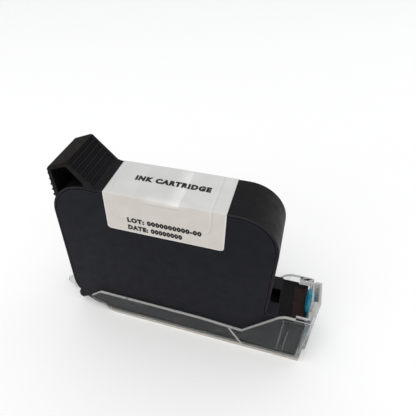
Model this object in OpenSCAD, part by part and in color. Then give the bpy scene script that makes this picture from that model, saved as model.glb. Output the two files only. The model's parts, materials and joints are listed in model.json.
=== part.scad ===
// Thermal inkjet cartridge for a date-code printer, lying in its clear storage clip.
// X runs along the cartridge from the rear wall to the nozzles, Y is its thickness, Z is up.
// Pieces are laid out from the rear wall, the middle plane and the underside of the cartridge,
// and in_frame() puts them over the clip's resting face.

/* [Cartridge body] */
// Length of the body without the snout
body_len = 72; // [60:1:100]
// Height of the body without the thumb grip
body_h = 58; // [48:1:80]
// Thickness of the cartridge from side to side
body_t = 17; // [14.2:0.5:26]
// Radius of the two rear corners
rear_r = 12; // [9:0.5:14]
// Radius of the upper front corner
front_r = 12.5; // [9:0.5:16]
// Thickness of the frame's wall
wall = 2; // [1.6:0.1:3]
// Width of the frame's rim outside the cover
rim = 0.85; // [0.6:0.05:1.2]
// Width of the groove between rim and cover
groove = 0.25; // [0.15:0.05:0.4]
// Thickness of a side cover
cover_t = 0.8; // [0.5:0.1:1]

/* [Snout] */
// Length of the snout in front of the body
snout_len = 12.3; // [11:0.1:18]
// Height of the snout
snout_h = 18.4; // [17.6:0.1:24]
// Radius of the hollow corner between body and snout
fillet_r = 2.4; // [1.5:0.1:4]
// Radius of the snout's edges at the nozzles
nose_r = 0.9; // [0.5:0.1:1.4]
// Length of the pocket in the snout's top
pocket_len = 3; // [2:0.1:3.6]
// Width of the pocket in the snout's top
pocket_w = 6; // [5:0.5:8.5]
// Depth of the pocket in the snout's top
pocket_depth = 3.2; // [1.5:0.1:3.4]
// Height of the cheeks beside the pocket
cheek_h = 0.6; // [0.3:0.1:1.5]

/* [Thumb grip] */
// Height of the grip's peak over the body
grip_h = 8.2; // [6.5:0.1:10]
// Distance of the grip's peak from the rear wall
grip_peak_x = 8.5; // [8:0.1:9.5]
// Wall thickness of the hollow grip
grip_wall = 1.2; // [1:0.1:1.5]
// Number of grooves on the grip's slope
grip_grooves = 6; // [4:1:7]
// Pitch of the grooves on the slope
grip_pitch = 1.8; // [1.5:0.1:1.8]
// Depth of the grooves on the slope
grip_groove_depth = 0.5; // [0.2:0.05:0.6]
// Number of ribs on the grip's rear wall
rear_ribs = 5; // [3:1:5]

/* [Label] */
// Distance of the label from the rear wall
label_x = 19; // [18.6:0.1:22]
// Length of the label along the body
label_len = 37.3; // [25:0.1:38]
// Length of the label's flap down each side
label_flap = 14.2; // [8:0.1:20]
// Thickness of the label
label_t = 0.15; // [0.1:0.05:0.3]

/* [Ink bag] */
// Thickness of the inner frame's wall
liner_t = 2.2; // [1.6:0.1:3]
// Thickness of a bag film
film_t = 0.15; // [0.1:0.05:0.3]
// Thickness of an edge guard
guard_t = 0.2; // [0.15:0.05:0.3]
// Thickness of a pressure plate
plate_t = 0.5; // [0.3:0.1:0.8]
// Length of a pressure plate
plate_len = 46; // [36:1:60]
// Height of a pressure plate
plate_h = 38; // [28:1:50]
// Width of the bow spring's strip
spring_w = 10; // [6:0.5:16]
// Thickness of the bow spring's strip
spring_t = 0.3; // [0.2:0.05:0.5]
// Length of the bow spring
spring_len = 38; // [30:1:44]

/* [Print head] */
// Height of the print head die, which holds the 12.7 mm row of nozzles
die_h = 14.4; // [13.6:0.1:15]
// Width of the print head die
die_w = 6; // [4:0.1:7]
// Thickness of the print head die
die_t = 0.7; // [0.5:0.05:1]
// Width of the flex circuit
flex_w = 13.4; // [10:0.1:13.6]
// Thickness of the flex circuit
flex_t = 0.2; // [0.1:0.05:0.3]
// Length of the flex circuit's tail on top of the snout
flex_tail = 4.5; // [3:0.1:5.5]
// Radius of the ink passage
ink_r = 1.6; // [1:0.1:2]
// Radius of the ball that closes the filling port
plug_r = 1.5; // [1:0.1:2]

/* [Clip] */
// Thickness of the clip's floor
clip_floor = 1.2; // [1:0.1:2]
// Thickness of the clip's walls
clip_wall = 1; // [0.8:0.1:1.4]
// Clearance between cartridge and clip
clip_gap = 0.2; // [0.15:0.05:0.3]
// Height of the clip's low side walls over the cartridge's underside
clip_low_h = 8.8; // [6:0.1:12]
// Height of the clip's walls beside the snout over the snout's top
clip_over_snout = 2.2; // [1.8:0.1:3]
// Distance of the floor's rear edge from the rear wall
clip_start = 14.5; // [13:0.5:20]
// Reach of the thumb tab behind the rear wall
tab_reach = 9.5; // [5:0.5:14]
// Width of the thumb tab where it leaves the floor
tab_w = 9; // [7:0.5:12]
// Reach of the end guard beyond the nozzles
guard_reach = 3.2; // [3:0.1:5]
// Width of the end guard
guard_w = 9; // [8.6:0.1:11]
// Height of the end guard over the cartridge's underside
guard_h = 25; // [24:0.5:30]
// Height of the blue seal's upper end over the snout's top
seal_over = 6; // [2:0.1:6.3]

/* [Hidden] */

$fn = 48;
// Steps of an arc(), how far a cut runs past what it cuts, and the least radius of an inset nose
ARC_STEPS = 14;
CUT = 0.5;
NOSE_R_MIN = 0.35;

// Main planes: half the thickness, the nozzles, and the underside over the resting face
HALF = body_t / 2;
nose_x = body_len + snout_len;
z_low = clip_floor + clip_gap;
cover_inset = rim + groove;

// Ink chamber, from the frame's wall inwards
chamber_r = rear_r - wall;
front_low_r = liner_t + 0.1;
bag_room = 0.75;
bag_gap = 0.05;
liner_half = HALF - cover_t - bag_room;
film_half = liner_half + film_t;
guard_out = liner_half - bag_gap;
plate_out = guard_out - guard_t;
plate_in = plate_out - plate_t;
plate_back = 3;
plate_x = (body_len - plate_len) / 2 - plate_back;
plate_z = (body_h - plate_h) / 2;
plate_r = 5;
guard_lap = 0.8;

// Filter carrier and ink tube
carrier_len = 4;
carrier_w = 8;
carrier_h = 9;
carrier_wall = 1;
carrier_lift = 0.3;
carrier_x = body_len - wall - liner_t - carrier_len;
carrier_z = wall + liner_t + carrier_lift + carrier_h / 2;
screen_t = 0.2;
screen_inset = 0.3;
tube_wall = 0.9;
tube_r = ink_r + tube_wall;
tube_clear = 0.02;
ball_clear = 0.02;
plenum_len = 3;

// Print head, centred on the snout's height
die_low = snout_h / 2 - die_h / 2;
die_clear = 0.1;
nozzle_t = 0.15;
flex_low_x = 20;
flex_clear = 0.05;
pad_rows = 13;
pad_columns = 4;
pad_len = 2.2;
pad_w = 2.4;
pad_pitch_x = 3.1;
pad_pitch_y = 3;
pad_t = 0.06;

// Seal and the clip's end, from the nozzles outwards
seal_gap = 0.15;
seal_face_t = 0.3;
seal_low = 1.6;
seal_top = snout_h + seal_over;
seal_half = 4.3;
seal_window_half = 2.2;
seal_window_inset = 1.8;
leaf_t = 0.6;
leaf_x = nose_x + seal_gap + seal_face_t;
leaf_half = 4.3;
leaf_slot_half = leaf_half + 0.4;
end_gap = 0.45;
end_t = 0.8;
end_x = nose_x + end_gap + end_t;
guard_wall = 0.7;
clip_half = HALF + clip_gap + clip_wall;
clip_top = snout_h + clip_over_snout;

// Points of an arc about (cx, cy) from angle a0 to a1
function arc(cx, cy, r, a0, a1) =
    [for (i = [0:ARC_STEPS]) let (a = a0 + (a1 - a0) * i / ARC_STEPS) [cx + r * cos(a), cy + r * sin(a)]];

// Side outline of body and snout, d inside the outer surface
function side_outline(d) =
    let (nr = max(nose_r - d, NOSE_R_MIN), far = nose_x - d - nr)
    concat(
        arc(rear_r, rear_r, rear_r - d, 180, 270),
        arc(far, d + nr, nr, 270, 360),
        arc(far, snout_h - d - nr, nr, 0, 90),
        arc(body_len + fillet_r, snout_h + fillet_r, fillet_r + d, 270, 180),
        arc(body_len - front_r, body_h - front_r, front_r - d, 0, 90),
        arc(rear_r, body_h - rear_r, rear_r - d, 90, 180));

// Outline of the ink chamber, d inside the frame's wall
function chamber_outline(d) =
    let (r = chamber_r - d, x0 = rear_r, x1 = body_len - rear_r, z0 = rear_r, z1 = body_h - rear_r,
        low = front_low_r, xl = body_len - wall - low, zl = wall + low)
    concat(arc(x0, z0, r, 180, 270), arc(xl, zl, low - d, 270, 360), arc(x1, z1, r, 0, 90),
        arc(x0, z1, r, 90, 180));

// Path round the nose, d inside the outer surface, from the underside to the snout's top
function nose_path(d, x_low, x_top) =
    concat([[x_low, d]], arc(nose_x - nose_r, nose_r, nose_r - d, 270, 360),
        arc(nose_x - nose_r, snout_h - nose_r, nose_r - d, 0, 90), [[x_top, snout_h - d]]);

function reversed(list) = [for (i = [len(list) - 1:-1:0]) list[i]];

// A side-view outline given thickness from y0 to y1
module slab(y0, y1) {
    translate([0, y1, 0]) rotate([90, 0, 0]) linear_extrude(y1 - y0) children();
}

// A piece laid out from the rear wall and the underside, set over the resting face
module in_frame() {
    translate([-body_len / 2, 0, z_low]) children();
}

module mirrored_pair() {
    children();
    mirror([0, 1, 0]) children();
}

module rounded_rect(x0, y0, w, h, r) {
    polygon(concat(arc(x0 + r, y0 + r, r, 180, 270), arc(x0 + w - r, y0 + r, r, 270, 360),
        arc(x0 + w - r, y0 + h - r, r, 0, 90), arc(x0 + r, y0 + h - r, r, 90, 180)));
}

/* Frame */

// Thumb grip: its steep rear wall, its peak and the slope down to the label
grip_foot_x = 1.9;
grip_top_x = 1.5;
grip_shoulder = grip_h - 2.5;
grip_peak_z = body_h + grip_h;
slope_foot = 0.3;
slope_angle = 44;
slope_run = (grip_h - slope_foot) / tan(slope_angle);
slope_end_x = grip_peak_x + slope_run;
label_step = 0.6;
groove_first = 1;
groove_margin = 0.8;
groove_r = grip_groove_depth + 0.1;
rib_pitch = 2;
rib_depth = 0.45;
rib_margin = 0.4;
lug_w = 2.6;
cheek_overlap = 1;
cheek_front = 0.6;
pocket_gap = 0.3;

module grip_outer() {
    polygon([[rear_r, body_h - rear_r], [grip_foot_x - 1, body_h - rear_r + 3], [grip_foot_x, body_h - 5],
        [grip_top_x, body_h + grip_shoulder - 0.8], [grip_top_x + 0.6, body_h + grip_shoulder],
        [grip_peak_x - 0.5, grip_peak_z - 0.1], [grip_peak_x, grip_peak_z],
        [grip_peak_x + 0.5, grip_peak_z - 0.2], [slope_end_x, body_h + slope_foot],
        [label_x - label_step, body_h], [label_x - label_step, body_h - rear_r]]);
}

// The hollow under the grip, whose floor follows the body's rounded corner
module grip_hollow() {
    t = grip_wall;
    front_x = slope_end_x - 4.4 * t;
    floor_drop = 4;
    difference() {
        polygon([[grip_top_x + t, body_h + grip_shoulder - t + 0.2],
            [grip_peak_x - 0.3, grip_peak_z - t - 0.2],
            [front_x + 1.4, body_h + 4.4 * t - 3.7], [front_x + 1.2, body_h],
            [grip_peak_x - 3, body_h - floor_drop], [grip_foot_x + t + 0.2, body_h - floor_drop]]);
        translate([rear_r, body_h - rear_r]) circle(r = rear_r - 0.1, $fn = 96);
    }
}

module grip_groove(i) {
    along = groove_first + i * grip_pitch;
    x = grip_peak_x + along * cos(slope_angle);
    z = grip_peak_z - along * sin(slope_angle) + 0.15;
    half = HALF - groove_margin;
    translate([x, half, z]) rotate([90, 0, 0]) cylinder(r = groove_r, h = 2 * half, $fn = 16);
    mirrored_pair() translate([x, half, z]) sphere(r = groove_r, $fn = 16);
}

module rear_rib(i) {
    z = body_h + grip_shoulder - 3 - i * rib_pitch;
    root_x = grip_top_x + 0.7;
    tip_x = grip_top_x - rib_depth;
    slab(-HALF + rib_margin, HALF - rib_margin)
        polygon([[root_x, z + 0.9], [tip_x, z + 0.35], [tip_x, z - 0.15], [root_x, z - 0.6]]);
}

module flex_strip(w, outer) {
    slab(-w / 2, w / 2) polygon(concat(nose_path(outer, flex_low_x, nose_x - flex_tail),
        reversed(nose_path(flex_t, flex_low_x, nose_x - flex_tail))));
}

// The small foot under each rear corner
module lug() {
    slab(-HALF, -HALF + lug_w) polygon([[1.9, 6.4], [0.8, 4.4], [0.7, 2.3], [1.4, 1.4], [2.3, 1.2],
        [3.2, 2], [4.4, 2.6], [rear_r, 2.6], [rear_r, 6.4]]);
}

module frame_solid() {
    slab(-HALF, HALF) {
        polygon(side_outline(0));
        grip_outer();
    }
    slab(-HALF, HALF) translate([body_len - cheek_overlap, snout_h - cheek_overlap])
        square([cheek_overlap + pocket_len + cheek_front, cheek_overlap + cheek_h]);
    for (i = [0:rear_ribs - 1]) rear_rib(i);
    mirrored_pair() lug();
}

// The plenum behind the die, the die's seat and the ink tube's bore
module ink_way() {
    ledge = 1;
    translate([body_len - wall - CUT, 0, carrier_z]) rotate([0, 90, 0])
        cylinder(r = tube_r + tube_clear, h = snout_len + wall + CUT - plenum_len - die_t);
    translate([nose_x - die_t - plenum_len - die_clear, -die_w / 2 + ledge, die_low + ledge])
        cube([plenum_len + 2 * die_clear, die_w - 2 * ledge, die_h - 2 * ledge]);
    translate([nose_x - die_t, -die_w / 2 - die_clear, die_low - die_clear])
        cube([die_t + CUT, die_w + 2 * die_clear, die_h + 2 * die_clear]);
}

// The shallow seat that the flex circuit lies in, under the body, over the nozzles and on the snout
module flex_seat() {
    half = flex_w / 2 + flex_clear;
    low_x = flex_low_x - flex_clear;
    top_x = nose_x - flex_tail - flex_clear;
    difference() {
        slab(-half, half) polygon([[low_x, -CUT], [nose_x + CUT, -CUT], [nose_x + CUT, snout_h + CUT],
            [top_x, snout_h + CUT], [top_x, snout_h - flex_t], [low_x, flex_t]]);
        slab(-HALF, HALF) polygon(nose_path(flex_t, low_x - CUT, top_x - CUT));
    }
}

module frame() {
    color("#1f1e20") in_frame() difference() {
        frame_solid();
        slab(-HALF - CUT, HALF + CUT) polygon(chamber_outline(0));
        mirrored_pair() slab(-HALF - CUT, -HALF + cover_t) polygon(side_outline(rim));
        slab(-HALF - CUT, HALF + CUT) grip_hollow();
        for (i = [0:grip_grooves - 1]) grip_groove(i);
        translate([body_len + pocket_gap, -pocket_w / 2, snout_h - pocket_depth])
            cube([pocket_len, pocket_w, pocket_depth + cheek_h + CUT]);
        translate([-CUT, 0, body_h / 2]) rotate([0, 90, 0]) cylinder(r = plug_r, h = wall + 2 * CUT);
        ink_way();
        flex_seat();
    }
}

/* Body parts */

module inner_frame() {
    color("#b8b4a8") in_frame() difference() {
        slab(-liner_half, liner_half) polygon(chamber_outline(0));
        slab(-HALF, HALF) polygon(chamber_outline(liner_t));
        translate([0, 0, body_h / 2]) rotate([0, 90, 0]) cylinder(r = plug_r, h = wall + liner_t + CUT);
        translate([body_len - wall - liner_t - CUT, 0, carrier_z]) rotate([0, 90, 0])
            cylinder(r = tube_r + tube_clear, h = liner_t + 2 * CUT);
    }
}

module cover_plate() {
    slab(-HALF, -HALF + cover_t) polygon(side_outline(cover_inset));
}

module near_cover() {
    color("#24262a") in_frame() cover_plate();
}

module far_cover() {
    color("#24262a") in_frame() mirror([0, 1, 0]) cover_plate();
}

module label() {
    top = body_h + label_t;
    half = HALF + label_t;
    color("#d8d6d2") in_frame() difference() {
        union() {
            translate([label_x, -half, body_h]) cube([label_len, 2 * half, label_t]);
            mirrored_pair() slab(-half, -HALF)
                rounded_rect(label_x, body_h - label_flap, label_len, label_flap + label_t, 0.1);
        }
        mirrored_pair() slab(-half - CUT, -HALF + CUT) label_corner_cuts();
    }
}

// What is cut off so that the flap's lower corners are round
module label_corner_cuts() {
    r = 1.1;
    past = 0.2;
    low = body_h - label_flap;
    for (side = [0, 1]) {
        corner_x = side == 0 ? label_x - past : label_x + label_len - r;
        centre_x = side == 0 ? label_x + r : label_x + label_len - r;
        difference() {
            translate([corner_x, low - past]) square([r + past, r + past]);
            translate([centre_x, low + r]) circle(r = r);
        }
    }
}

/* Ink bag and spring */

module bag_film() {
    film_inset = 0.4;
    slab(-film_half, -liner_half) polygon(chamber_outline(film_inset));
}

module near_bag_film() {
    color("#9aa0a4") in_frame() bag_film();
}

module far_bag_film() {
    color("#9aa0a4") in_frame() mirror([0, 1, 0]) bag_film();
}

module edge_guard() {
    slab(-guard_out, -plate_out)
        rounded_rect(plate_x - guard_lap, plate_z - guard_lap, plate_len + 2 * guard_lap,
            plate_h + 2 * guard_lap, plate_r + guard_lap);
}

module near_edge_guard() {
    color("#e6e2d2") in_frame() edge_guard();
}

module far_edge_guard() {
    color("#e6e2d2") in_frame() mirror([0, 1, 0]) edge_guard();
}

// A plate with four holes, each the same distance in from its corner
module pressure_plate() {
    hole_r = 1.5;
    in_x = 8.3;
    in_z = 7.6;
    difference() {
        slab(-plate_out, -plate_in) rounded_rect(plate_x, plate_z, plate_len, plate_h, plate_r);
        for (x = [in_x, plate_len - in_x], z = [in_z, plate_h - in_z])
            translate([plate_x + x, 0, plate_z + z]) rotate([90, 0, 0]) cylinder(r = hole_r, h = HALF);
    }
}

module near_pressure_plate() {
    color("#b9bcc0") in_frame() pressure_plate();
}

module far_pressure_plate() {
    color("#b9bcc0") in_frame() mirror([0, 1, 0]) pressure_plate();
}

// One leaf of the bow spring from above: an arc from end to end that touches its plate in the middle
spring_rise = plate_in - bag_gap;
spring_r = (spring_len * spring_len / 4 + spring_rise * spring_rise) / (2 * spring_rise);
spring_mid_x = plate_x + plate_len / 2;
spring_lap = 0.2;

module spring_leaf() {
    intersection() {
        translate([0, -spring_rise + spring_r]) difference() {
            circle(r = spring_r, $fn = 180);
            circle(r = spring_r - spring_t, $fn = 180);
        }
        translate([-spring_len / 2, -spring_rise - CUT]) square([spring_len, spring_rise + CUT + spring_lap]);
    }
}

module bow_spring() {
    color("#c9ccd0") in_frame() translate([spring_mid_x, 0, body_h / 2 - spring_w / 2])
        linear_extrude(spring_w) {
            spring_leaf();
            mirror([0, 1]) spring_leaf();
        }
}

/* Ink path */

module filter_carrier() {
    color("#d9d7cc") in_frame() difference() {
        translate([carrier_x, -carrier_w / 2, carrier_z - carrier_h / 2])
            cube([carrier_len, carrier_w, carrier_h]);
        translate([carrier_x + carrier_wall, -HALF, carrier_z - carrier_h / 2 + carrier_wall])
            cube([carrier_len - 2 * carrier_wall, body_t, carrier_h - 2 * carrier_wall]);
        translate([carrier_x + carrier_len - carrier_wall - CUT, 0, carrier_z]) rotate([0, 90, 0])
            cylinder(r = ink_r, h = carrier_wall + 2 * CUT);
    }
}

module filter_screen() {
    translate([carrier_x + screen_inset, -carrier_w / 2 - screen_t, carrier_z - carrier_h / 2 + screen_inset])
        cube([carrier_len - 2 * screen_inset, screen_t, carrier_h - 2 * screen_inset]);
}

module near_filter_screen() {
    color("#a8acb0") in_frame() filter_screen();
}

module far_filter_screen() {
    color("#a8acb0") in_frame() mirror([0, 1, 0]) filter_screen();
}

module ink_tube() {
    x0 = carrier_x + carrier_len;
    x1 = nose_x - die_t - plenum_len;
    color("#c4c0b4") in_frame() translate([x0, 0, carrier_z]) rotate([0, 90, 0]) difference() {
        cylinder(r = tube_r, h = x1 - x0);
        translate([0, 0, -CUT]) cylinder(r = ink_r, h = x1 - x0 + 2 * CUT);
    }
}

module fill_plug() {
    color("#c8cacc") in_frame() translate([wall, 0, body_h / 2]) sphere(r = plug_r - ball_clear);
}

/* Print head */

module flex_circuit() {
    color("#3a1e16") in_frame() difference() {
        flex_strip(flex_w, 0);
        translate([nose_x - 2, -die_w / 2, die_low]) cube([4, die_w, die_h]);
    }
}

module contact_pads() {
    first_x = flex_low_x + 2;
    first_y = -flex_w / 2 + 1;
    color("#c9a24a") in_frame() for (i = [0:pad_rows - 1], j = [0:pad_columns - 1])
        translate([first_x + i * pad_pitch_x, first_y + j * pad_pitch_y, -pad_t])
            cube([pad_len, pad_w, pad_t]);
}

// The die, with the ink slot along its middle
module printhead_die() {
    slot_w = 0.5;
    slot_end = 1.2;
    color("#3c4046") in_frame() difference() {
        translate([nose_x - die_t, -die_w / 2, die_low]) cube([die_t - nozzle_t, die_w, die_h]);
        translate([nose_x - die_t - CUT, -slot_w / 2, die_low + slot_end])
            cube([die_t + CUT, slot_w, die_h - 2 * slot_end]);
    }
}

module nozzle_plate() {
    color("#b08a52") in_frame() translate([nose_x - nozzle_t, -die_w / 2, die_low])
        cube([nozzle_t, die_w, die_h]);
}

// A potting bead over the leads at each end of the die
module encapsulant() {
    bead_h = 0.9;
    bead_t = 0.08;
    bead_out = 0.3;
    bead_r = 0.4;
    color("#101012") in_frame() for (end = [-1, 1])
        translate([nose_x, 0, snout_h / 2 + end * (die_h / 2 + bead_out)]) rotate([0, 90, 0])
            linear_extrude(bead_t)
                rounded_rect(-bead_h / 2, -die_w / 2 + bead_out, bead_h, die_w - 2 * bead_out, bead_r);
}

/* Clip */

// The side wall dips at dip_x and rises beside the snout up to rise_x
dip_back = 19.3;
rise_run = 12.6;
dip_x = nose_x - dip_back;
rise_x = dip_x + rise_run;
dip_h = clip_low_h - 1.4;

// Side wall of the clip, from its pointed rear end along the low wall to the high one beside the snout
module clip_side() {
    slab(-clip_half, -clip_half + clip_wall) polygon([[clip_start + 1.2, -z_low], [clip_start - 0.5, -0.9],
        [clip_start - 1.7, 1.6], [7.2, 3.9], [6.9, 5.2], [10.9, clip_low_h - 0.2], [11.6, clip_low_h],
        [dip_x - 15, clip_low_h - 0.3], [dip_x - 2, dip_h + 0.1], [dip_x, dip_h],
        [rise_x - 1.6, clip_top - 1], [rise_x, clip_top - 0.15], [rise_x + 1, clip_top],
        [end_x, clip_top], [end_x, -z_low]]);
}

// Raised lines on the side wall: a slanting one at the dip and two upright ones beside the snout
module clip_side_ribs() {
    rib_out = 0.25;
    rib_w = 0.4;
    slant_top = clip_low_h - 1.2;
    slant_low = 0.4 - z_low;
    slab(-clip_half - rib_out, -clip_half) {
        polygon([[dip_x - 4.6, slant_top], [dip_x - 4, slant_top], [dip_x + 1.9, slant_low],
            [dip_x + 1.2, slant_low]]);
        translate([nose_x - 6.9, 0]) square([rib_w, clip_top - 1.2]);
        translate([nose_x - 4.9, 0]) square([rib_w, snout_h - 5]);
    }
}

// Plan outline of the floor with the tapered, serrated thumb tab behind it
module clip_floor_plan() {
    half = clip_half;
    r = 2;
    tab_steps = 3;
    tip_half = 0.7;
    root = 1;
    tooth = (tab_reach - 0.5) / tab_steps;
    grow = (tab_w / 2 - tip_half - 0.2) / tab_steps;
    teeth = [for (i = [0:tab_steps - 1], p = [[0, tip_half], [tooth * 0.75, tip_half + 0.2 + grow]])
        [-tab_reach + i * tooth + p[0], i * grow + p[1]]];
    polygon(concat([[end_x, -half], [end_x, half]], arc(clip_start + r, half - r, r, 90, 180),
        arc(clip_start + r, -half + r, r, 180, 270)));
    polygon(concat(teeth, [[clip_start + root, tab_w / 2 + 0.5], [clip_start + root, -tab_w / 2 - 0.5]],
        reversed([for (p = teeth) [p[0], -p[1]]])));
}

// The lip that holds the snout down
module clip_lip() {
    lip_len = 3.3;
    lip_reach = 1;
    lip_gap = 0.3;
    translate([nose_x - lip_len, -clip_half, snout_h + lip_gap])
        cube([end_x - nose_x + lip_len, clip_wall + clip_gap + lip_reach, clip_over_snout - lip_gap]);
}

// End walls beside the leaf, and the guard that bulges out behind the seal
module clip_end() {
    wall_x = nose_x + end_gap;
    out_x = nose_x + guard_reach;
    joint = 0.1;
    strip_t = 0.75;
    strip_out = leaf_slot_half + 0.6;
    difference() {
        translate([wall_x, -clip_half, -z_low]) cube([end_t, 2 * clip_half, clip_top + z_low]);
        translate([wall_x - CUT, -leaf_slot_half, 0])
            cube([end_t + 2 * CUT, 2 * leaf_slot_half, clip_top + CUT]);
    }
    difference() {
        translate([end_x - joint, -guard_w / 2, -z_low])
            cube([out_x - end_x + joint, guard_w, guard_h + z_low]);
        translate([end_x - CUT, -guard_w / 2 + guard_wall, clip_gap])
            cube([out_x - guard_wall - end_x + CUT, guard_w - 2 * guard_wall, guard_h + z_low]);
    }
    mirrored_pair() translate([end_x - joint, -strip_out, -z_low])
        cube([strip_t, strip_out - guard_w / 2 + guard_wall, clip_top + z_low]);
}

// The springy leaf that presses the seal on the nozzles
module clip_leaf() {
    low_z = 0.2 - z_low;
    top_z = seal_top + 0.2;
    difference() {
        translate([leaf_x, -leaf_half, low_z]) cube([leaf_t, 2 * leaf_half, top_z - low_z]);
        translate([leaf_x - CUT, 0, 0]) seal_section(seal_window_half, seal_window_inset, leaf_t + 2 * CUT);
    }
}

// A slice of the seal of given half width, its ends drawn in by inset, h long in X
module seal_section(half, inset, h) {
    rotate([90, 0, 90]) linear_extrude(h)
        rounded_rect(-half, seal_low + inset, 2 * half, seal_top - seal_low - 2 * inset, half - 0.05);
}

module clip() {
    color("#c8d0cc", 0.4) in_frame() {
        translate([0, 0, -z_low]) linear_extrude(clip_floor) clip_floor_plan();
        mirrored_pair() {
            clip_side();
            clip_side_ribs();
            clip_lip();
        }
        clip_end();
        clip_leaf();
    }
}

// Seal moulded through the leaf's window: a face towards the nozzles that laps over the snout's top
// edge, and a dome behind the leaf
module seal() {
    inner_x = nose_x + seal_gap;
    dome_x = leaf_x + leaf_t;
    dome_half = guard_w / 2 - guard_wall - 0.15;
    dome_inset = 0.5;
    lap_z = snout_h + 0.2;
    layers = 4;
    layer_t = 0.22;
    color("#2f9fc4") in_frame() {
        translate([inner_x, 0, 0]) seal_section(seal_half, 0, seal_face_t);
        translate([leaf_x, 0, 0]) seal_section(seal_window_half, seal_window_inset, leaf_t);
        for (i = [0:layers - 1]) let (shrink = 0.12 * i * i) {
            translate([dome_x + layer_t * i, 0, 0])
                seal_section(dome_half - shrink, dome_inset + shrink, layer_t);
            intersection() {
                translate([inner_x - layer_t * (i + 1), 0, 0])
                    seal_section(seal_half - shrink, shrink, layer_t);
                translate([0, -HALF, lap_z]) cube([inner_x, body_t, seal_top - lap_z]);
            }
        }
    }
}

frame();
inner_frame();
near_cover();
far_cover();
label();
near_bag_film();
far_bag_film();
near_edge_guard();
far_edge_guard();
near_pressure_plate();
far_pressure_plate();
bow_spring();
filter_carrier();
near_filter_screen();
far_filter_screen();
ink_tube();
fill_plug();
flex_circuit();
contact_pads();
printhead_die();
nozzle_plate();
encapsulant();
clip();
seal();
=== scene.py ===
import json
import math

import bmesh
import bpy
from mathutils import Euler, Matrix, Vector, noise

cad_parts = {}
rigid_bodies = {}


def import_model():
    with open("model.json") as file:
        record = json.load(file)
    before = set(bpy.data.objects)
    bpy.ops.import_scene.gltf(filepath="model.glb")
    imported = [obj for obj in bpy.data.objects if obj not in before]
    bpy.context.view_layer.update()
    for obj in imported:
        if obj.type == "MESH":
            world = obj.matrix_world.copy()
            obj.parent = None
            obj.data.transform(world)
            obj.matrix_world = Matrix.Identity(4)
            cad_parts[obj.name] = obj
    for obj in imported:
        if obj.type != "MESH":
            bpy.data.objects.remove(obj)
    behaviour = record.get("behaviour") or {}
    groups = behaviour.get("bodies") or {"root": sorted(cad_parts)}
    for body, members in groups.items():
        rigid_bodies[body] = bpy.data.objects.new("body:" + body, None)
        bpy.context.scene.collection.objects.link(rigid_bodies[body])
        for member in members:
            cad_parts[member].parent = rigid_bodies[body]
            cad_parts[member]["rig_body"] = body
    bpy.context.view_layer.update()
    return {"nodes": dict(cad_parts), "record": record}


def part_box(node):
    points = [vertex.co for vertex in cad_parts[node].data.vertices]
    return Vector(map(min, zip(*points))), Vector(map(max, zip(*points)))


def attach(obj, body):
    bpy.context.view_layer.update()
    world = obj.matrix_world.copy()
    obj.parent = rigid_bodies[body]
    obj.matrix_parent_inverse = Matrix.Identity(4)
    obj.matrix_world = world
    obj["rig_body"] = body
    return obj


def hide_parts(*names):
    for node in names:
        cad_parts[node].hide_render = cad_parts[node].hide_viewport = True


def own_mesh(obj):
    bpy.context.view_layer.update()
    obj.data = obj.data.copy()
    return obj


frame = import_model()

# An ink cartridge in its clear storage clip. X runs from the rear wall to the nozzles, Y across the
# cartridge, Z up. Every length is in metres, and MM turns millimetres into them.
MM = 0.001
NODES = frame["nodes"]

FRAME_LOW, FRAME_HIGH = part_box("frame")
LABEL_LOW, LABEL_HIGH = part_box("label")
SEAL_LOW, SEAL_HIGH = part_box("seal")
PLATE_LOW, PLATE_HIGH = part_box("nozzle_plate")
SNOUT_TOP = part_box("flex_circuit")[1].z
HALF_T = FRAME_HIGH.y
BODY_FRONT = FRAME_LOW.x + 72 * MM
GRIP_PEAK_X = FRAME_LOW.x + 8.5 * MM


# Camera and lights

CAMERA_PLACE = Vector((33.1, -90.5, 131.3)) * MM
CAMERA_AZIMUTH = 20.3
CAMERA_ELEVATION = 41.9
CAMERA_ROLL = -2.6
CAMERA_LENS = 34.7
SENSOR_WIDTH = 36
NEAREST = 5 * MM
CAMERA_SHIFT = (0.100, 0.0305)
LIGHT_TARGET = Vector((0, 0, 30)) * MM
WORLD_COLOUR = (0.98, 0.99, 1.0, 1)
WORLD_STRENGTH = 0.80
# Azimuth and elevation in degrees, distance and width in metres, power in watts, colour.
LIGHTS = {
    "overhead": (-15, 68, 1.3, 1.0, 5.0, (1, 0.98, 0.95)),
    "front": (-30, 25, 1.2, 0.6, 1.0, (1, 0.96, 0.92)),
    "rim": (140, 20, 0.6, 0.15, 0.1, (1, 0.99, 0.97)),
}


def aim(azimuth, elevation, roll=0.0):
    """Rotation that looks at the object from an azimuth and an elevation, in degrees."""
    look = Euler((math.radians(90 - elevation), 0, math.radians(azimuth))).to_matrix()
    return look @ Euler((0, 0, math.radians(roll))).to_matrix()


def make_camera():
    """The camera at the photograph's viewing angle."""
    data = bpy.data.cameras.new("camera")
    data.lens = CAMERA_LENS
    data.sensor_width = SENSOR_WIDTH
    data.shift_x, data.shift_y = CAMERA_SHIFT
    data.clip_start = NEAREST
    camera = bpy.data.objects.new("camera", data)
    bpy.context.collection.objects.link(camera)
    turn = aim(CAMERA_AZIMUTH, CAMERA_ELEVATION, CAMERA_ROLL)
    camera.matrix_world = turn.to_4x4()
    camera.location = CAMERA_PLACE
    bpy.context.scene.camera = camera


def area_light(name, azimuth, elevation, distance, size, power, colour):
    """A square softbox that faces the middle of the object."""
    data = bpy.data.lights.new(name, "AREA")
    data.size = size
    data.energy = power
    data.color = colour
    light = bpy.data.objects.new(name, data)
    bpy.context.collection.objects.link(light)
    turn = aim(azimuth, elevation)
    light.matrix_world = turn.to_4x4()
    light.location = turn @ Vector((0, 0, distance)) + LIGHT_TARGET


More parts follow.
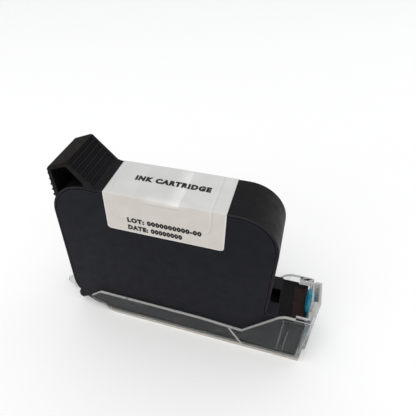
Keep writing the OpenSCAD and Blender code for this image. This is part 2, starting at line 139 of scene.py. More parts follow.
def make_lights():
    """An even pale surround with three soft lights."""
    world = bpy.data.worlds.new("studio")
    world.use_nodes = True
    background = world.node_tree.nodes["Background"]
    background.inputs["Color"].default_value = WORLD_COLOUR
    background.inputs["Strength"].default_value = WORLD_STRENGTH
    bpy.context.scene.world = world
    for name, setting in LIGHTS.items():
        area_light(name, *setting)


# Node materials

# The label's vertex attribute that holds its painted light and shade and its white cut edge.
TONE = "paper_painted_shading"
FRAME_TONE = (0.0046, 0.0041, 0.0050)
COVER_TONE = (0.0046, 0.0050, 0.0078)


class Finish:
    """A node material being built: adds nodes and links them to the surface shader."""

    def __init__(self, name):
        self.material = bpy.data.materials.new(name)
        self.material.use_nodes = True
        self.tree = self.material.node_tree
        self.shader = self.tree.nodes["Principled BSDF"]
        self.place = self.add("ShaderNodeTexCoord").outputs["Object"]

    def add(self, kind, inputs=None, **settings):
        """A new node with its settings written and its inputs filled by name."""
        node = self.tree.nodes.new(kind)
        for key, value in settings.items():
            setattr(node, key, value)
        for key, value in (inputs or {}).items():
            self.fill(node.inputs[key], value)
        return node

    def fill(self, socket, value):
        """Links another node's output to a socket, or writes a number, a vector or an RGB colour there."""
        if isinstance(value, bpy.types.NodeSocket):
            self.tree.links.new(value, socket)
        elif socket.type == "RGBA":
            socket.default_value = (*value, 1)
        else:
            socket.default_value = value

    def noise(self, size, detail=2.0, stretch=(1, 1, 1)):
        """Noise whose blobs are about size metres across, drawn out along an axis by stretch."""
        scale = [1 / (size * share) for share in stretch]
        place = self.add("ShaderNodeMapping", {"Vector": self.place, "Scale": scale})
        inputs = {"Vector": place.outputs[0], "Scale": 1.0, "Detail": detail}
        return self.add("ShaderNodeTexNoise", inputs).outputs["Fac"]

    def remap(self, value, low, high, to_low=0.0, to_high=1.0):
        """A straight ramp from to_low at low to to_high at high, held at both ends."""
        inputs = {"Value": value, "From Min": low, "From Max": high, "To Min": to_low, "To Max": to_high}
        return self.add("ShaderNodeMapRange", inputs).outputs[0]

    def math(self, operation, a, b=0.0):
        """The result of one arithmetic node."""
        node = self.add("ShaderNodeMath", operation=operation)
        self.fill(node.inputs[0], a)
        self.fill(node.inputs[1], b)
        return node.outputs[0]

    def both(self, first, *others):
        """A mask that is white where all the masks are."""
        for other in others:
            first = self.math("MULTIPLY", first, other)
        return first

    def either(self, first, *others):
        """A mask that is white where any of the masks is."""
        for other in others:
            first = self.math("MAXIMUM", first, other)
        return first

    def axis(self, name):
        """The place along an axis, in metres."""
        return self.add("ShaderNodeSeparateXYZ", {"Vector": self.place}).outputs[name]

    def facing(self, name):
        """How far the surface faces along an axis, -1 to 1."""
        normal = self.add("ShaderNodeTexCoord").outputs["Normal"]
        return self.add("ShaderNodeSeparateXYZ", {"Vector": normal}).outputs[name]

    def mix(self, amount, a, b):
        """Colour a where amount is 0 and colour b where it is 1."""
        node = self.add("ShaderNodeMix", data_type="RGBA")
        self.fill(node.inputs[0], amount)
        self.fill(node.inputs[6], a)
        self.fill(node.inputs[7], b)
        return node.outputs[2]

    def bump(self, height, depth, strength=1.0):
        """Relief depth metres deep in the shader's normal."""
        inputs = {"Height": height, "Distance": depth, "Strength": strength}
        self.set("Normal", self.add("ShaderNodeBump", inputs).outputs[0])

    def set(self, socket, value):
        """Links or writes one of the surface shader's inputs, by name."""
        self.fill(self.shader.inputs[socket], value)


def edge_highlight_mask(finish):
    """The rounded edges beside the flat sides, where the colour is painted paler as a painted highlight.
    """
    tilt = finish.math("ABSOLUTE", finish.facing("Y"))
    return finish.both(finish.remap(tilt, 0.12, 0.35), finish.remap(tilt, 0.98, 0.88), 0.8)


def frame_lit_cheeks_and_grip_wear(finish, colour, roughness):
    """The frame's cheeks beside the pocket, painted paler as painted light where light falls on them, and
    the brown dull wear on top of the grip.
    """
    on_snout = finish.remap(finish.axis("X"), BODY_FRONT, BODY_FRONT + 0.2 * MM)
    raised = finish.remap(finish.axis("Z"), SNOUT_TOP + 0.1 * MM, SNOUT_TOP + 0.3 * MM)
    # Painted light: the cheeks beside the pocket are painted paler than the frame.
    colour = finish.mix(finish.both(on_snout, raised), colour, (0.016, 0.015, 0.019))
    behind_peak = finish.remap(finish.axis("X"), GRIP_PEAK_X + 0.6 * MM, GRIP_PEAK_X - 0.2 * MM)
    high = finish.remap(finish.axis("Z"), FRAME_HIGH.z - 3.2 * MM, FRAME_HIGH.z - 2.4 * MM)
    plateau = finish.both(behind_peak, high)
    rubbed = finish.remap(finish.noise(1.1 * MM, 4, (1, 2.5, 1)), 0.4, 0.66)
    colour = finish.mix(finish.both(plateau, rubbed), colour, (0.020, 0.0135, 0.0075))
    return colour, finish.mix(plateau, roughness, (0.85, 0.85, 0.85))


def black_plastic(name, tone, gloss, grain, lit_cheeks_and_grip_wear=False):
    """Moulded plastic with a spark texture, faint flow marks, scattered dust and a painted highlight along
    its rounded edges.
    """
    finish = Finish(name)
    flow = finish.noise(14 * MM, 3)
    dust = finish.remap(finish.noise(0.45 * MM, 4), 0.59, 0.7)
    patches = finish.remap(finish.noise(9 * MM, 2), 0.5, 0.65)
    light = tuple(c * 1.35 for c in tone)
    dusty = tuple(c * 5 for c in tone)
    edge_highlight_tone = tuple(c * 6 for c in tone)
    colour = finish.mix(flow, tone, light)
    colour = finish.mix(finish.both(dust, patches), colour, dusty)
    # Painted highlight: the rounded edges are painted six times paler than the plastic.
    colour = finish.mix(edge_highlight_mask(finish), colour, edge_highlight_tone)
    roughness = finish.remap(finish.noise(3 * MM, 3), 0.3, 0.7, 0.42, 0.58)
    if lit_cheeks_and_grip_wear:
        colour, roughness = frame_lit_cheeks_and_grip_wear(finish, colour, roughness)
    finish.set("Base Color", colour)
    finish.set("Roughness", roughness)
    finish.set("Specular IOR Level", gloss)
    finish.bump(finish.noise(grain, 2), 0.03 * MM, 0.35)
    return finish.material


def liner_plastic():
    """Natural soft plastic that light sinks into a little."""
    finish = Finish("liner_plastic")
    finish.set("Base Color", finish.mix(finish.noise(6 * MM, 3), (0.62, 0.59, 0.5), (0.7, 0.68, 0.6)))
    finish.set("Roughness", finish.remap(finish.noise(2 * MM), 0.3, 0.7, 0.4, 0.55))
    finish.set("Subsurface Weight", 0.15)
    finish.set("Subsurface Scale", 0.001)
    finish.bump(finish.noise(0.4 * MM), 0.02 * MM, 0.3)
    return finish.material


def label_paper():
    """White coated paper: fibres, a slight mottle, a satin coat, painted shade on its side flaps, and the
    painted light and shade and white cut edge held in its vertex attribute.
    """
    finish = Finish("label_paper")
    fibres = finish.noise(0.35 * MM, 4, (3, 1, 1))
    mottle = finish.noise(5 * MM, 3)
    side = finish.remap(finish.math("ABSOLUTE", finish.facing("Y")), 0.4, 0.9)
    # Painted shade: the side flaps are darker and warmer than the top.
    paper_with_shaded_sides = finish.mix(side, (0.615, 0.612, 0.602), (0.595, 0.55, 0.51))
    paper = finish.mix(finish.both(mottle, 0.2), paper_with_shaded_sides, (0.54, 0.53, 0.51))
    tone = finish.add("ShaderNodeAttribute", attribute_name=TONE).outputs["Fac"]
    # Painted shade where the attribute is below 0; painted highlight, and the white cut edge, where it is
    # above 0.
    shaded = finish.mix(finish.remap(tone, 0.0, -1.0), paper, (0.42, 0.40, 0.38))
    finish.set("Base Color", finish.mix(finish.remap(tone, 0.0, 1.0), shaded, (0.86, 0.86, 0.85)))
    finish.set("Roughness", finish.remap(mottle, 0.3, 0.7, 0.38, 0.5))
    finish.set("Specular IOR Level", 0.3)
    finish.bump(fibres, 0.008 * MM, 0.5)
    return finish.material


def label_ink():
    """Printed black ink, a little patchy where the paper's fibres show through."""
    finish = Finish("label_ink")
    gaps = finish.remap(finish.noise(0.18 * MM, 3), 0.5, 0.8)
    finish.set("Base Color", finish.mix(gaps, (0.006, 0.006, 0.007), (0.05, 0.05, 0.05)))
    finish.set("Roughness", finish.remap(gaps, 0.0, 1.0, 0.35, 0.6))
    finish.set("Specular IOR Level", 0.2)
    return finish.material


def bag_film():
    """Metallised barrier film with soft wrinkles."""
    finish = Finish("bag_film")
    finish.set("Base Color", finish.mix(finish.noise(4 * MM, 3), (0.3, 0.33, 0.36), (0.48, 0.51, 0.54)))
    finish.set("Metallic", finish.remap(finish.noise(8 * MM), 0.3, 0.7, 0.7, 0.9))
    finish.set("Roughness", finish.remap(finish.noise(3 * MM), 0.3, 0.7, 0.18, 0.35))
    finish.bump(finish.noise(5 * MM, 3, (2, 1, 1)), 0.5 * MM, 0.5)
    return finish.material


def brushed_metal(name, tone, roughness):
    """Rolled metal with fine lines along X."""
    finish = Finish(name)
    lines = finish.noise(0.12 * MM, 2, (40, 1, 1))
    finish.set("Base Color", finish.mix(lines, tuple(c * 0.86 for c in tone), tone))
    finish.set("Metallic", 1.0)
    finish.set("Roughness", finish.remap(lines, 0.3, 0.7, roughness - 0.06, roughness + 0.08))
    finish.bump(lines, 0.004 * MM, 0.4)
    return finish.material


def flex_film():
    """Brown polyimide over copper tracks that run along the strip."""
    finish = Finish("flex_film")
    across = finish.math("ABSOLUTE", finish.axis("Y"))
    tracks = finish.math("PINGPONG", across, 0.35 * MM)
    copper = finish.remap(tracks, 0.16 * MM, 0.2 * MM)
    inner = finish.remap(across, 6.1 * MM, 5.9 * MM)
    base = finish.mix(finish.noise(2.5 * MM, 3), (0.008, 0.0034, 0.003), (0.014, 0.0055, 0.0045))
    over_copper = finish.mix(finish.both(copper, inner), base, (0.022, 0.0085, 0.0055))
    finish.set("Base Color", over_copper)
    finish.set("Roughness", finish.remap(finish.noise(1.5 * MM), 0.3, 0.7, 0.24, 0.4))
    finish.set("Specular IOR Level", 0.14)
    finish.bump(copper, 0.012 * MM, 0.6)
    return finish.material


def silicon():
    """Polished silicon with a fine pattern of cells."""
    finish = Finish("silicon")
    cells = finish.noise(0.3 * MM, 2, (1, 1, 4))
    finish.set("Base Color", finish.mix(cells, (0.05, 0.055, 0.07), (0.09, 0.09, 0.11)))
    finish.set("Metallic", 0.4)
    finish.set("Roughness", finish.remap(cells, 0.3, 0.7, 0.12, 0.22))
    return finish.material


def nozzle_film():
    """Amber nozzle film."""
    finish = Finish("nozzle_film")
    finish.set("Base Color", finish.mix(finish.noise(1.2 * MM, 3), (0.36, 0.2, 0.07), (0.5, 0.3, 0.12)))
    finish.set("Roughness", finish.remap(finish.noise(0.8 * MM), 0.3, 0.7, 0.2, 0.34))
    finish.bump(finish.noise(0.3 * MM), 0.006 * MM, 0.4)
    return finish.material


def encapsulant():
    """Black potting resin that set in an uneven bead."""
    finish = Finish("encapsulant")
    colour = finish.mix(finish.noise(0.7 * MM), (0.007, 0.007, 0.009), (0.016, 0.015, 0.017))
    finish.set("Base Color", colour)
    finish.set("Roughness", finish.remap(finish.noise(0.5 * MM), 0.3, 0.7, 0.2, 0.34))
    finish.bump(finish.noise(0.8 * MM), 0.05 * MM, 0.4)
    return finish.material


# The clip's walls beside the cartridge, its lips over the snout, its floor and its end.
WALL_IN = HALF_T + 0.2 * MM
WALL_OUT = HALF_T + 1.2 * MM
LIP_START = PLATE_HIGH.x - 3.3 * MM
LIP_LOW = SNOUT_TOP + 0.3 * MM
FLOOR_TOP = 1.2 * MM
END_START = PLATE_HIGH.x + 0.4 * MM
SNOUT_RIBS = 38 * MM


def proud_of_wall(finish, across):
    """The ribs that stand out of the clip's walls."""
    return finish.remap(across, WALL_OUT + 0.02 * MM, WALL_OUT + 0.06 * MM)


def clip_edges(finish, x, z, across, at_floor):
    """The edges of the clip's walls and lips, but hardly those of the upright ribs beside the snout."""
    edge_on = finish.remap(finish.math("ABSOLUTE", finish.facing("Y")), 0.8, 0.4)
    in_wall = finish.remap(across, WALL_IN - 0.2 * MM, WALL_IN)
    lip_x = finish.remap(x, LIP_START, LIP_START + 0.1 * MM)
    lip_z = finish.remap(z, LIP_LOW, LIP_LOW + 0.1 * MM)
    in_lip = finish.both(lip_x, lip_z)
    outer_rim = finish.both(finish.remap(across, WALL_OUT - 0.4 * MM, WALL_OUT - 0.3 * MM), edge_on)
    inner_rim = finish.remap(across, WALL_IN - 0.5 * MM, WALL_IN - 0.7 * MM)
    above_floor = finish.remap(z, FLOOR_TOP + 0.2 * MM, FLOOR_TOP + 0.6 * MM)
    to_front = finish.remap(x, SNOUT_RIBS, SNOUT_RIBS + 1 * MM)
    upright = finish.both(proud_of_wall(finish, across), to_front, above_floor, 0.85)
    elsewhere = finish.both(finish.math("SUBTRACT", 1.0, in_lip), finish.math("SUBTRACT", 1.0, upright))
    wall_edges = finish.both(in_wall, finish.either(edge_on, at_floor), elsewhere)
    return finish.either(wall_edges, finish.both(in_lip, finish.either(outer_rim, inner_rim)))


def clip_frost(finish, at_floor):
    """How milky the clear plastic is: pale at its edges, ribs and end, and scuffed on its walls."""
    x = finish.axis("X")
    z = finish.axis("Z")
    across = finish.math("ABSOLUTE", finish.axis("Y"))
    rib_share = finish.remap(x, SNOUT_RIBS, SNOUT_RIBS + 1 * MM, 1.0, 0.12)
    ribs = finish.both(proud_of_wall(finish, across), rib_share)
    cloudy = finish.remap(finish.noise(1.3 * MM, 4, (1, 1, 1.6)), 0.38, 0.66, 0.1, 0.4)
    end = finish.both(finish.remap(x, END_START, END_START + 0.5 * MM), cloudy)
    bright = finish.remap(finish.noise(2.5 * MM, 3), 0.35, 0.65, 0.75, 1.0)
    frost = finish.both(finish.either(clip_edges(finish, x, z, across, at_floor), ribs, end), bright)
    streaks = finish.remap(finish.noise(0.5 * MM, 3, (7, 1, 1)), 0.64, 0.76, 0.0, 0.3)
    scuffed = finish.remap(finish.noise(7 * MM, 2), 0.46, 0.6)
    return finish.either(frost, finish.both(streaks, scuffed))


def clear_plastic():
    """Injection-moulded plastic: clear walls with scuffs and haze, and frosted edges that catch light."""
    finish = Finish("clear_plastic")
    at_floor = finish.remap(finish.axis("Z"), FLOOR_TOP + 0.3 * MM, FLOOR_TOP)
    frost = clip_frost(finish, at_floor)
    haze = finish.noise(3 * MM, 3)
    clear = finish.mix(haze, (0.90, 0.93, 0.935), (0.95, 0.965, 0.97))
    milky = finish.mix(at_floor, (0.62, 0.61, 0.59), (0.62, 0.555, 0.48))
    finish.set("Base Color", finish.mix(frost, clear, milky))
    finish.set("Transmission Weight", finish.remap(frost, 0.0, 1.0, 1.0, 0.3))
    finish.set("IOR", 1.2)
    wall_roughness = finish.remap(haze, 0.3, 0.7, 0.0, 0.03)
    finish.set("Roughness", finish.math("ADD", wall_roughness, finish.both(frost, 0.35)))
    finish.bump(finish.noise(6 * MM, 2, (2.5, 1, 1)), 0.03 * MM, 0.3)
    return finish.material


def blue_silicone():
    """Soft translucent rubber with a satin skin."""
    finish = Finish("blue_silicone")
    cloud = finish.noise(2 * MM, 3)
    finish.set("Base Color", finish.mix(cloud, (0.012, 0.27, 0.47), (0.05, 0.43, 0.6)))
    finish.set("Roughness", finish.remap(cloud, 0.3, 0.7, 0.22, 0.38))
    finish.set("Transmission Weight", 0.35)
    finish.set("IOR", 1.41)
    finish.set("Subsurface Weight", 0.25)
    finish.set("Subsurface Scale", 0.0015)
    finish.bump(finish.noise(0.5 * MM), 0.02 * MM, 0.35)
    return finish.material


def make_materials():
    """Every node material by name; all but label_ink are named after the record's slots."""
    return {
        "frame_plastic": black_plastic("frame_plastic", FRAME_TONE, 0.1, 0.25 * MM, lit_cheeks_and_grip_wear=True),
        "cover_plastic": black_plastic("cover_plastic", COVER_TONE, 0.11, 0.2 * MM),
        "liner_plastic": liner_plastic(),
        "label_paper": label_paper(),
        "label_ink": label_ink(),
        "bag_film": bag_film(),
        "plate_steel": brushed_metal("plate_steel", (0.62, 0.63, 0.64), 0.28),
        "flex_film": flex_film(),
        "gold_pad": brushed_metal("gold_pad", (0.83, 0.58, 0.25), 0.22),
        "silicon": silicon(),
        "nozzle_film": nozzle_film(),
        "encapsulant": encapsulant(),
        "clear_plastic": clear_plastic(),
        "blue_silicone": blue_silicone(),
    }


# Mesh helpers

def new_piece(name, bm, material, smooth_angle=35):
    """Turns a bmesh into an object whose edges sharper than smooth_angle stay crisp."""
    mesh = bpy.data.meshes.new(name)
    bm.to_mesh(mesh)
    bm.free()
    mesh.shade_smooth()
    mesh.set_sharp_from_angle(angle=math.radians(smooth_angle))
    mesh.materials.append(material)
    piece = bpy.data.objects.new(name, mesh)
    bpy.context.collection.objects.link(piece)
    return piece


# Angles between faces in degrees: from SHARP_ANGLE an edge is rounded, below FLAT_ANGLE it goes.
SHARP_ANGLE = 28
FLAT_ANGLE = 0.5
WELD_DISTANCE = 0.002 * MM


def welded(node):
    """A CAD node's mesh with its vertices welded and the triangles of its flat faces joined."""
    bm = bmesh.new()
    bm.from_mesh(NODES[node].data)
    bmesh.ops.remove_doubles(bm, verts=bm.verts, dist=WELD_DISTANCE)
    bmesh.ops.dissolve_limit(bm, angle_limit=math.radians(FLAT_ANGLE), verts=bm.verts, edges=bm.edges)
    return bm


def weigh_edges(bm, chosen):
    """Marks the sharp edges that chosen picks, for the bevel to round."""
    weights = bm.edges.layers.float.new("bevel_weight_edge")
    for edge in bm.edges:
        if chosen(edge) and edge.calc_face_angle(0.0) > math.radians(SHARP_ANGLE):
            edge[weights] = 1.0


def softened(name, node, material, radius, chosen=None):
    """A CAD node's shape with its sharp edges, or only the chosen ones, rounded, in that node's place."""
    bm = welded(node)
    if chosen:
        weigh_edges(bm, chosen)
    piece = new_piece(name, bm, material, SHARP_ANGLE)
    rounding = piece.modifiers.new("edge_radius", "BEVEL")
    rounding.width = radius
    rounding.segments = 2
    rounding.limit_method = "WEIGHT" if chosen else "ANGLE"
    rounding.angle_limit = math.radians(SHARP_ANGLE)
    rounding.harden_normals = not chosen
    rounding.use_clamp_overlap = not chosen
    if chosen:
        shading = piece.modifiers.new("flat_faces", "WEIGHTED_NORMAL")
        shading.keep_sharp = True
        shading.weight = 100
    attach(piece, NODES[node]["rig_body"])
    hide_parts(node)
    return piece


def on_side_face(edge):
    """Whether both ends of an edge are on the cartridge's near or far side."""
    return all(abs(vertex.co.y) > HALF_T - 0.01 * MM for vertex in edge.verts)


def on_frame_rim(edge):
    """Whether an edge is on the body's outer rim or along the grip's peak."""
    body_top = LABEL_HIGH.z + 0.2 * MM
    ends = [vertex.co for vertex in edge.verts]
    on_side = on_side_face(edge) and ends[0].y * ends[1].y > 0
    on_body = all(end.z < body_top and end.x < BODY_FRONT + 0.05 * MM for end in ends)
    at_peak = all(end.z > FRAME_HIGH.z - 0.05 * MM for end in ends)
    return (on_side and on_body) or (at_peak and not on_side)


def stadium(x, half, low, high, steps=14):
    """Points of an upright slot with round ends, in the plane at x."""
    points = []
    for centre_z, start in ((high - half, 0), (low + half, math.pi)):
        for i in range(steps + 1):
            turn = start + math.pi * i / steps
            points.append(Vector((x, half * math.cos(turn), centre_z + half * math.sin(turn))))
    return points


def loft(bm, rings):
    """Skins a list of rings of equal length and caps both ends."""
    rows = [[bm.verts.new(p) for p in ring] for ring in rings]
    count = len(rows[0])
    for a, b in zip(rows, rows[1:]):
        for i in range(count):
            j = (i + 1) % count
            bm.faces.new((a[i], a[j], b[j], b[i]))
    bm.faces.new(list(reversed(rows[0])))
    bm.faces.new(rows[-1])
    bmesh.ops.recalc_face_normals(bm, faces=bm.faces)


# Bow spring

def make_spring(material):
    """The bow spring between the two plates, which press it flat as the ink is used."""
    bm = bmesh.new()
    bm.from_mesh(NODES["bow_spring"].data)
    piece = new_piece("spring_leaves", bm, material)
    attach(piece, "cartridge")
    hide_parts("bow_spring")
    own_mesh(piece)


# Label

LABEL_LIFT = 0.02 * MM
LABEL_SIDE = HALF_T + LABEL_LIFT
LABEL_TOP = LABEL_HIGH.z - 0.15 * MM + LABEL_LIFT
LABEL_BEND = 0.24 * MM
PAPER_THICKNESS = 0.1 * MM
FLAP_CORNER = 1.1 * MM
FLAP_STEPS = 56
BEND_STEPS = 5
TOP_STEPS = 56
LABEL_COLUMNS = 150

# What shows through the paper, measured from the label's rear edge and from its top edge down.
TAPE_SPAN = (2.0 * MM, 33.2 * MM)
TAPE_DROP = 8.7 * MM
TAPE_CORNER = 2.6 * MM
FOLDS = (9.7 * MM, 23.5 * MM)
BLISTER_X = 18.5 * MM
TAPE_RISE = 0.055 * MM
FOLD_RISE = 0.05 * MM
BLISTER_RISE = 0.25 * MM
RIPPLE_RISE = 0.012 * MM


def smooth_step(value, low, high):
    """0 below low and 1 above high, with a smooth rise between them."""
    t = min(1.0, max(0.0, (value - low) / (high - low)))
    return t * t * (3 - 2 * t)


def ridge(value, place, width, power=2):
    """A smooth hump, 1 high at a place, with a flatter top where power is higher."""
    return math.exp(-(((value - place) / width) ** power))


def label_path():
    """(y, z, outward y, outward z) round the cartridge, from the near flap's end to the far one's."""
    path = []
    flap = LABEL_TOP - LABEL_BEND - LABEL_LOW.z
    for i in range(FLAP_STEPS):
        path.append((-LABEL_SIDE, LABEL_LOW.z + flap * i / FLAP_STEPS, -1, 0))
    for i in range(BEND_STEPS + 1):
        turn = math.pi - math.pi / 2 * i / BEND_STEPS
        ny, nz = math.cos(turn), math.sin(turn)
        centre_y, centre_z = LABEL_BEND - LABEL_SIDE, LABEL_TOP - LABEL_BEND
        path.append((centre_y + LABEL_BEND * ny, centre_z + LABEL_BEND * nz, ny, nz))
    near_side = list(path)
    run = 2 * (LABEL_SIDE - LABEL_BEND)
    for i in range(1, TOP_STEPS):
        path.append((LABEL_BEND - LABEL_SIDE + run * i / TOP_STEPS, LABEL_TOP, 0, 1))
    return path + [(-y, z, -ny, nz) for y, z, ny, nz in reversed(near_side)]


def below_top(z):
    """Height below the label's top edge, or 0 on its top face."""
    return max(LABEL_HIGH.z - z - 0.2 * MM, 0.0)


def outside_tape(along, down):
    """Distance from a place on the label to the outline of the tape beneath it, less than 0 inside."""
    start, end = TAPE_SPAN
    dx = max(start + TAPE_CORNER - along, along - (end - TAPE_CORNER), 0.0)
    dz = max(down - (TAPE_DROP - TAPE_CORNER), 0.0)
    return math.hypot(dx, dz) - TAPE_CORNER


def between_folds(along, start, blur):
    """1 between the two folds and 0 beyond them, rising over blur from start."""
    rise = smooth_step(along, start, start + blur)
    return rise * (1 - smooth_step(along, FOLDS[1], FOLDS[1] + 0.3 * MM))


def blister_shape(along, y, down):
    """A pocket of air on the near top edge, 0 to 1."""
    return ridge(along, BLISTER_X, 6 * MM, 4) * ridge(y, -HALF_T, 1.5 * MM) * ridge(down, 0.0, 1.1 * MM)


def label_relief(x, y, z):
    """Height of the label over the body: the tape beneath it, a blister, two folds and soft ripples."""
    down = below_top(z)
    along = x - LABEL_LOW.x
    tape = 1 - smooth_step(outside_tape(along, down), -0.15 * MM, 0.15 * MM)
    on_top = 1 - smooth_step(down, 0.0, 2 * MM)
    slope = 0.4 + smooth_step(along, *FOLDS)
    fold = between_folds(along, FOLDS[0] - 0.3 * MM, 0.3 * MM) * slope * on_top
    ripple = noise.noise(Vector((x, y, z)) / (7 * MM))
    smooth = TAPE_RISE * tape + FOLD_RISE * fold + BLISTER_RISE * blister_shape(along, y, down)
    return smooth + RIPPLE_RISE * ripple


def tape_outline_shading(along, down):
    """The tape's outline: a painted shade line with a painted highlight line inside it, clearer towards
    the front.
    """
    outline = outside_tape(along, down)
    clarity = 0.35 + 0.65 * smooth_step(along, 4 * MM, 30 * MM)
    dark = 0.30 * ridge(outline, 0.0, 0.22 * MM)
    pale = 0.20 * ridge(outline, -0.45 * MM, 0.25 * MM)
    return clarity * (pale - dark)


def label_painted_shading(x, y, z):
    """Painted light and shade on the paper, -1 to 1: over the folds, along the tape's outline and on the
    blister with a painted shadow below it, plus the paper's white cut edge and a faint random mottle.
    """
    down = below_top(z)
    along = x - LABEL_LOW.x
    on_top = 1 - smooth_step(down, 0.0, 0.6 * MM)
    glow = smooth_step(along, FOLDS[1] - 5 * MM, FOLDS[1])
    # Painted shade and highlight across the band between the folds, and along the tape's outline.
    tone = on_top * between_folds(along, FOLDS[0], 0.2 * MM) * (0.55 * glow - 0.12)
    tone += tape_outline_shading(along, down)
    # Painted highlight on the blister, and its painted shadow below.
    tone += 0.35 * blister_shape(along, y, down)
    tone -= 0.35 * ridge(down, 1.5 * MM, 0.3 * MM) * ridge(along, BLISTER_X, 5.5 * MM, 4)
    edge = min(along, LABEL_HIGH.x - x, z - LABEL_LOW.z)
    tone += 0.6 * (1 - smooth_step(edge, 0.12 * MM, 0.4 * MM)) * (1 - on_top)
    return tone + 0.12 * noise.noise(Vector((x, y, z)) / (4 * MM))


def flap_trim(rise):
    """How far a flap's rounded corner cuts in at a height above the flap's end."""
    if rise >= FLAP_CORNER:
        return 0.0
    return FLAP_CORNER - math.sqrt(FLAP_CORNER ** 2 - (FLAP_CORNER - rise) ** 2)


def label_row(bm, y, z, ny, nz):
    """A line of vertices along the label, raised by its relief."""
    trim = flap_trim(z - LABEL_LOW.z)
    start = LABEL_LOW.x + trim
    length = LABEL_HIGH.x - LABEL_LOW.x - 2 * trim
    row = []
    for i in range(LABEL_COLUMNS + 1):
        x = start + length * i / LABEL_COLUMNS
        height = label_relief(x, y, z)
        row.append(bm.verts.new((x, y + ny * height, z + nz * height)))
    return row


def make_label(paper):
    """The label that wraps over the top, with its painted light and shade and its white cut edge in a
    vertex attribute.
    """
    bm = bmesh.new()
    rows = [label_row(bm, *step) for step in label_path()]
    for a, b in zip(rows, rows[1:]):
        for i in range(LABEL_COLUMNS):
            bm.faces.new((a[i], a[i + 1], b[i + 1], b[i]))
    bmesh.ops.recalc_face_normals(bm, faces=bm.faces)
    painted_shading = [label_painted_shading(*vertex.co) for vertex in bm.verts]
    piece = new_piece("wrap_label", bm, paper, 60)
    piece.data.attributes.new(TONE, "FLOAT", "POINT").data.foreach_set("value", painted_shading)
    sheet = piece.modifiers.new("paper_thickness", "SOLIDIFY")
    sheet.thickness = PAPER_THICKNESS
    sheet.offset = 1
    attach(piece, "cartridge")
    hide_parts("label")


# Print: generic words and zeros in place of the photograph's

PRINT_LIFT = 0.125 * MM
PRINT_BOLDNESS = 0.082
PRINT_SPACING = 1.22


def letters(name, words):
    """A flat mesh of bold letters."""
    data = bpy.data.curves.new(name, "FONT")
    data.body = words
    data.size = 1.0
    data.offset = PRINT_BOLDNESS
    data.space_character = PRINT_SPACING
    data.extrude = 0.0
    data.resolution_u = 3
    source = bpy.data.objects.new(name + "_source", data)
    bpy.context.collection.objects.link(source)
    bpy.context.view_layer.update()
    graph = bpy.context.evaluated_depsgraph_get()
    mesh = bpy.data.meshes.new_from_object(source.evaluated_get(graph))
    bpy.data.objects.remove(source)
    return mesh


def printed_line(name, words, place, width, height, upright, ink):
    """A line of print, width long and height tall, that lies on the label's top or, upright, its flap."""
    mesh = letters(name, words)
    low = Vector([min(vertex.co[i] for vertex in mesh.vertices) for i in (0, 1)])
    high = Vector([max(vertex.co[i] for vertex in mesh.vertices) for i in (0, 1)])
    for vertex in mesh.vertices:
        x = place.x + (vertex.co.x - low.x) / (high.x - low.x) * width
        up = (vertex.co.y - low.y) / (high.y - low.y) * height
        if upright:
            z = place.z + up
            vertex.co = (x, place.y - label_relief(x, place.y, z), z)
        else:
            y = place.y + up
            vertex.co = (x, y, place.z + label_relief(x, y, place.z))
    mesh.materials.clear()
    mesh.materials.append(ink)
    piece = bpy.data.objects.new(name, mesh)
    bpy.context.collection.objects.link(piece)
    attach(piece, "cartridge")


def make_print(ink):
    """A name on the label's top, and a lot and a date of zeros on its near flap."""
    x = LABEL_LOW.x + 7.1 * MM
    side = -LABEL_SIDE - PRINT_LIFT
    title = Vector((x, -0.6 * MM, LABEL_TOP + PRINT_LIFT))
    lot = Vector((x, side, LABEL_LOW.z + 4.1 * MM))
    date = Vector((x, side, LABEL_LOW.z + 1.1 * MM))
    printed_line("top_print", "INK CARTRIDGE", title, 23.7 * MM, 2.5 * MM, False, ink)
    printed_line("lot_print", "LOT: 0000000000-00", lot, 23.4 * MM, 2.0 * MM, True, ink)
    printed_line("date_print", "DATE: 00000000", date, 17.5 * MM, 2.0 * MM, True, ink)


# Seal

# From the nozzles outwards along X: the flange's face, its end, the neck's end and the dome's start.
SEAL_FACE = SEAL_LOW.x + 0.88 * MM
FLANGE_END = SEAL_FACE + 0.3 * MM
NECK_END = FLANGE_END + 0.6 * MM
DOME_START = NECK_END + 0.05 * MM
FLANGE_HALF = SEAL_HIGH.y
NECK_HALF = FLANGE_HALF - 2.1 * MM
NECK_INSET = 1.8 * MM
DOME_HALF = 3.65 * MM
DOME_INSET = 0.5 * MM
DOME_TAPER = 1.9 * MM
DOME_STEPS = 8
LAP_CENTRE = SEAL_HIGH.z - FLANGE_HALF
LAP_LOW = SNOUT_TOP + 0.2 * MM
LAP_TAPER = 1.5 * MM
LAP_STEPS = 6
CORNER = 0.1 * MM


def seal_ring(x, half, inset):
    """The seal's outline at x, half wide to each side and inset from its two ends."""
    return stadium(x, half, SEAL_LOW.z + inset, SEAL_HIGH.z - inset)


def make_plug(material):
    """The blue plug: a flange on the nozzles, a neck through the clip's leaf, and a dome outside."""
    rings = [seal_ring(SEAL_FACE, FLANGE_HALF - CORNER, CORNER),
             seal_ring(SEAL_FACE + CORNER, FLANGE_HALF, 0.0),
             seal_ring(FLANGE_END, FLANGE_HALF, 0.0),
             seal_ring(FLANGE_END, NECK_HALF, NECK_INSET),
             seal_ring(NECK_END, NECK_HALF, NECK_INSET)]
    for i in range(DOME_STEPS + 1):
        turn = math.pi / 2 * i / DOME_STEPS
        x = DOME_START + (SEAL_HIGH.x - DOME_START) * math.sin(turn)
        taper = DOME_TAPER * (1 - math.cos(turn))
        rings.append(seal_ring(x, DOME_HALF - taper, DOME_INSET + taper))
    bm = bmesh.new()
    loft(bm, rings)
    piece = new_piece("nozzle_seal", bm, material, 50)
    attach(piece, "clip")
    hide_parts("seal")


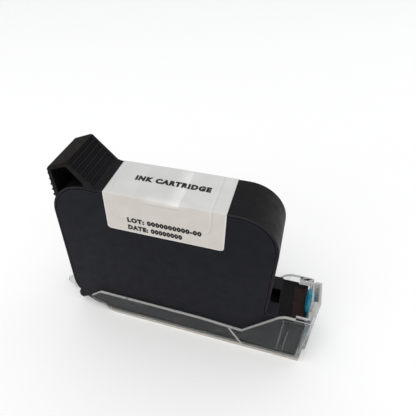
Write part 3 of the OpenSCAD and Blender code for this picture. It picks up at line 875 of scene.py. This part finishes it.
def lap_ring(x, radius, steps=24):
    """The cap of a circle that rises above the snout, in the plane at x."""
    low = LAP_LOW - LAP_CENTRE
    start = math.atan2(low, math.sqrt(max(radius ** 2 - low ** 2, 0.0)))
    ring = []
    for i in range(steps + 1):
        turn = start + (math.pi - 2 * start) * i / steps
        ring.append(Vector((x, radius * math.cos(turn), LAP_CENTRE + radius * math.sin(turn))))
    return ring


def make_lap(material):
    """The plug's upper end, which reaches back over the snout."""
    rings = []
    for i in range(LAP_STEPS + 1):
        turn = math.pi / 2 * i / LAP_STEPS
        x = SEAL_FACE - (SEAL_FACE - SEAL_LOW.x) * math.sin(turn)
        taper = LAP_TAPER * (1 - math.cos(turn))
        rings.append(lap_ring(x, FLANGE_HALF - CORNER - taper))
    bm = bmesh.new()
    loft(bm, rings)
    piece = new_piece("seal_lap", bm, material, 50)
    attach(piece, "clip")


# Print head

NOZZLES_IN_ROW = 60
NOZZLE_PITCH = 0.21 * MM
NOZZLE_RADIUS = 0.055 * MM
NOZZLE_ROW_Y = 0.9 * MM
NOZZLE_SIDES = 8


def nozzle(bm, y, z):
    """One round opening, just proud of the nozzle plate."""
    x = PLATE_HIGH.x + 0.004 * MM
    ring = []
    for i in range(NOZZLE_SIDES):
        turn = 2 * math.pi * i / NOZZLE_SIDES
        place = (x, y + NOZZLE_RADIUS * math.cos(turn), z + NOZZLE_RADIUS * math.sin(turn))
        ring.append(bm.verts.new(place))
    bm.faces.new(ring)


def make_nozzles(material):
    """Two rows of fine openings in the nozzle plate, half a pitch apart."""
    bm = bmesh.new()
    centre_z = (PLATE_LOW.z + PLATE_HIGH.z) / 2
    for side in (-1, 1):
        for i in range(NOZZLES_IN_ROW):
            z = centre_z + (i - NOZZLES_IN_ROW / 2 + 0.25 * side) * NOZZLE_PITCH
            nozzle(bm, side * NOZZLE_ROW_Y, z)
    piece = new_piece("nozzle_rows", bm, material)
    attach(piece, "cartridge")


# Put the object together

def dress(slot_materials):
    """Gives each CAD node that stays shown its node material."""
    for row in frame["record"]["subparts"]:
        node = NODES[row["node"]]
        if not node.hide_render:
            node.data.materials.clear()
            node.data.materials.append(slot_materials[row["material_slot"]])


FLOOR_HALF = 3.0
FLOOR_GAP = 0.02 * MM


def make_floor():
    """A wide pale sheet with a faint mottle, just under the clip."""
    bm = bmesh.new()
    bmesh.ops.create_grid(bm, x_segments=8, y_segments=8, size=FLOOR_HALF)
    bmesh.ops.translate(bm, verts=bm.verts, vec=(0, 0, -FLOOR_GAP))
    finish = Finish("floor_sheet")
    colour = finish.mix(finish.noise(40 * MM, 2), (0.975, 0.975, 0.975), (0.985, 0.985, 0.985))
    finish.set("Base Color", colour)
    finish.set("Roughness", finish.remap(finish.noise(20 * MM), 0.3, 0.7, 0.75, 0.85))
    finish.set("Specular IOR Level", 0.1)
    new_piece("floor", bm, finish.material)


# How round the moulded parts' edges are.
FRAME_EDGE = 0.28 * MM
COVER_EDGE = 0.12 * MM
CLIP_EDGE = 0.16 * MM

make_camera()
make_lights()
make_floor()
materials = make_materials()

shell = softened("cartridge_frame", "frame", materials["frame_plastic"], FRAME_EDGE, on_frame_rim)
for side in ("near", "far"):
    black = materials["cover_plastic"]
    cover = softened(side + "_side_cover", side + "_cover", black, COVER_EDGE, on_side_face)
tray = softened("storage_clip", "clip", materials["clear_plastic"], CLIP_EDGE)
make_label(materials["label_paper"])
make_print(materials["label_ink"])
make_plug(materials["blue_silicone"])
make_lap(materials["blue_silicone"])
make_nozzles(materials["encapsulant"])
make_spring(materials["plate_steel"])
dress(materials)

bpy.context.scene.view_settings.view_transform = "Standard"
